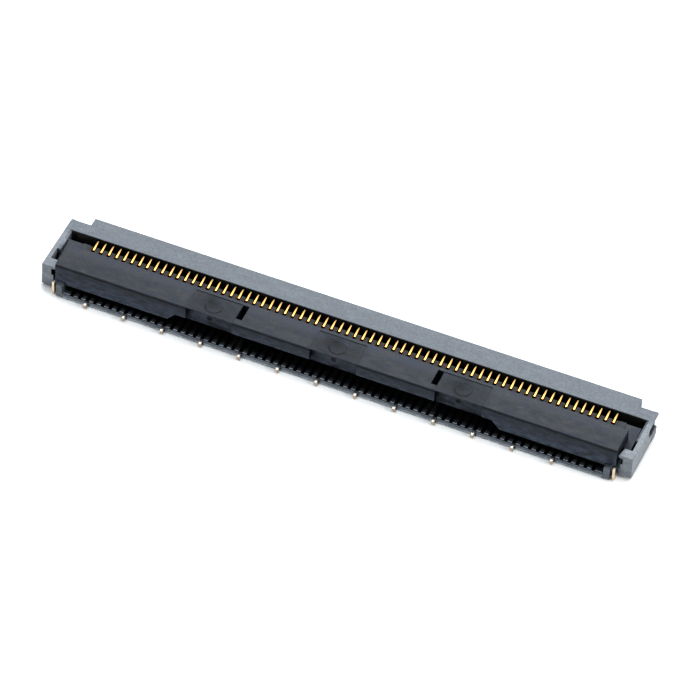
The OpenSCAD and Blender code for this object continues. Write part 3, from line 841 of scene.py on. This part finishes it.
on_panel = region(
    tree, near_panels, on_top,
    (from_middle, PANEL_HALF + PANEL_SOFT, PANEL_HALF - PANEL_SOFT),
    (y_at, PANEL_REAR + 0.02, PANEL_REAR),
)
at_panel_edge = region(
    tree, near_panels, on_top,
    (from_middle, PANEL_HALF + 0.05, PANEL_HALF),
    (y_at, PANEL_REAR - 0.08, PANEL_REAR - 0.04),
    (y_at, PANEL_REAR + 0.03, PANEL_REAR + 0.01),
)
on_recess_face = region(
    tree, near_panels,
    (from_middle, PANEL_HALF + 0.02, PANEL_HALF - PANEL_SOFT),
    (y_at, RECESS_FACE + 0.1, RECESS_FACE + 0.05),
    (z_at, RECESS_TOP_Z, RECESS_TOP_Z - 0.05),
)

# Painted shade darkens the top behind its ridge, and a painted highlight lies along the ridge. A dark
# band runs along the front under the ridge, and the lip below it gets painted light, paler towards
# the bottom. The teeth between the contacts get a warm painted shade, tinted by the gold beside
# them, and their slots a painted glow of reflected gold.
RIDGE_Y = -2.385
RIDGE_LOW_Z = 2.17
RIDGE_PAINTED_HIGHLIGHT = (1.4, 1.5, 1.6)
BEHIND_RIDGE_FROM_Y = -0.95
BEHIND_RIDGE_TO_Y = -1.4
BEHIND_RIDGE_PAINTED_SHADE = (0.55, 0.55, 0.57)
UNDER_RIDGE_BAND_Z = 2.05
UNDER_RIDGE_BAND_SHADE = (0.3, 0.3, 0.3)
UNDER_RIDGE_BAND_ROUGH = 0.8
LIP_DARK_Z = 1.9
LIP_PALE_Z = 0.8
LIP_PAINTED_LIGHT = (2.6, 2.5, 2.25)
TOP_REAR = -0.52
TEETH_Z = 1.525
TEETH_PAINTED_WARM_SHADE = (1.2, 0.8, 0.5)
TEETH_ROUGH = 0.65
GLOW_REAR = 0.52
GLOW_LOW_Z = 1.1
SLOT_PAINTED_GOLD_GLOW = (8.0, 6.5, 4.5)
on_front = region(tree, (y_at, RIDGE_Y + 0.1, RIDGE_Y + 0.08))
behind_ridge = region(
    tree, on_top,
    (z_at, RIDGE_LOW_Z, RIDGE_LOW_Z + 0.04),
    (y_at, BEHIND_RIDGE_FROM_Y, BEHIND_RIDGE_TO_Y),
)
under_ridge_band = region(
    tree, on_front,
    (z_at, UNDER_RIDGE_BAND_Z - 0.06, UNDER_RIDGE_BAND_Z + 0.03),
    (z_at, RIDGE_LOW_Z + 0.03, RIDGE_LOW_Z),
)
on_ridge = region(
    tree,
    (y_at, RIDGE_Y + 0.12, RIDGE_Y + 0.04),
    (z_at, RIDGE_LOW_Z + 0.01, RIDGE_LOW_Z + 0.05),
)
on_lip = region(tree, on_front, (z_at, LIP_DARK_Z, LIP_PALE_Z))
on_teeth = region(
    tree,
    (across_at, COMB_HALF, COMB_HALF - 0.4),
    (y_at, TOP_REAR - 0.02, TOP_REAR),
    (z_at, TEETH_Z - 0.1, TEETH_Z - 0.08),
    (z_at, TEETH_Z + 0.03, TEETH_Z + 0.02),
)
in_slots = region(
    tree,
    (across_at, COMB_HALF, COMB_HALF - 0.02),
    (y_at, -0.02, 0.0),
    (y_at, GLOW_REAR, GLOW_REAR - 0.04),
    (z_at, GLOW_LOW_Z, GLOW_LOW_Z + 0.1),
    (z_at, TEETH_Z - 0.005, TEETH_Z - 0.01),
)

# Painted shade darkens the round gate mark in the middle of each recess and the front of the
# ejector mark on each panel, and a darker patch lies behind that. Painted light on the mark's step
# and rear edge keeps the rear of the mark from showing.
PIT_X = -0.11
PIT_Z = 1.48
PIT_R = 0.16
PIT_FRONT_Y = -1.3
PIT_PAINTED_SHADE = (0.3, 0.3, 0.3)
MARK_Y = -1.6
MARK_R = 0.55
MARK_FRONT_PAINTED_SHADE = (0.4, 0.4, 0.4)
MARK_ROUGH = 0.76
STEEP_TURN = (0.8, 0.5)
MARK_STEP_PAINTED_LIGHT = (3.2, 3.2, 3.2)
MARK_REAR_PAINTED_LIGHT = (2.2, 2.2, 2.2)
DARK_PATCH_X = -0.3
DARK_PATCH_Y = -1.3
DARK_PATCH_R = 0.75
DARK_PATCH_SHADE = (0.5, 0.48, 0.46)
DARK_PATCH_ROUGH = 0.7


def distance_from(tree, centre, **sockets):
    """How far the point that the sockets give lies from a centre in millimetres."""
    here = add(tree, "ShaderNodeCombineXYZ", links=sockets)
    apart = add(
        tree, "ShaderNodeVectorMath", {"operation": "DISTANCE"},
        inputs={1: [value * MM for value in centre]}, links={0: here.outputs["Vector"]},
    )
    return apart.outputs["Value"]


beside_middle = add(
    tree, "ShaderNodeMath", {"operation": "WRAP"},
    inputs={1: (PANEL_PITCH / 2 + PIT_X) * MM, 2: (PIT_X - PANEL_PITCH / 2) * MM},
    links={0: x_at},
).outputs["Value"]
from_pit = distance_from(tree, (PIT_X, 0, PIT_Z), X=beside_middle, Z=z_at)
from_mark = distance_from(tree, (0, MARK_Y, 0), X=from_middle, Y=y_at)
from_dark_patch = distance_from(tree, (DARK_PATCH_X, DARK_PATCH_Y, 0), X=beside_middle, Y=y_at)
in_pit = region(
    tree, near_panels,
    (from_pit, PIT_R * 1.2, PIT_R * 0.7),
    (y_at, PIT_FRONT_Y + 0.1, PIT_FRONT_Y),
)
mark_edge = region(
    tree, near_panels, on_top,
    (from_mark, MARK_R - 0.1, MARK_R - 0.05),
    (from_mark, MARK_R + 0.05, MARK_R),
)
mark_rear = region(
    tree, near_panels, on_top,
    (from_mark, MARK_R - 0.05, MARK_R - 0.02),
    (from_mark, MARK_R + 0.05, MARK_R + 0.02),
    (y_at, MARK_Y - 0.1, MARK_Y + 0.2),
)
_, _, z_way = facing_in(tree, "True Normal")
on_steep = region(tree, (z_way, *STEEP_TURN), unit=1)
mark_step = region(tree, mark_edge, on_steep, (y_at, MARK_Y - 0.1, MARK_Y + 0.1))
mark_front = region(tree, mark_edge, (y_at, MARK_Y, MARK_Y - 0.25))
in_dark_patch = region(tree, near_panels, on_top, (from_dark_patch, DARK_PATCH_R, 0.1))

# The masks multiply the base colour: painted shade and painted light, the panels' darker finish and the
# darker patches.
actuator_shades = (
    (in_pit, PIT_PAINTED_SHADE), (on_recess_face, RECESS_FACE_PAINTED_LIGHT), (mark_front, MARK_FRONT_PAINTED_SHADE),
    (mark_step, MARK_STEP_PAINTED_LIGHT), (at_panel_edge, PANEL_EDGE_PAINTED_SHADE), (mark_rear, MARK_REAR_PAINTED_LIGHT),
    (in_dark_patch, DARK_PATCH_SHADE), (behind_ridge, BEHIND_RIDGE_PAINTED_SHADE), (under_ridge_band, UNDER_RIDGE_BAND_SHADE),
    (on_teeth, TEETH_PAINTED_WARM_SHADE), (on_ridge, RIDGE_PAINTED_HIGHLIGHT), (on_lip, LIP_PAINTED_LIGHT), (in_slots, SLOT_PAINTED_GOLD_GLOW),
    (on_panel, PANEL_SHADE),
)
for mask, shade in actuator_shades:
    shade_where(tree, shader, mask, *shade)
actuator_roughness = (
    (on_teeth, TEETH_ROUGH), (under_ridge_band, UNDER_RIDGE_BAND_ROUGH), (on_panel, PANEL_ROUGH),
    (in_dark_patch, DARK_PATCH_ROUGH), (mark_front, MARK_ROUGH), (at_panel_edge, PANEL_EDGE_ROUGH),
)
for mask, roughness in actuator_roughness:
    roughen_where(tree, shader, mask, roughness)
finish_node("actuator", charcoal_polymer)
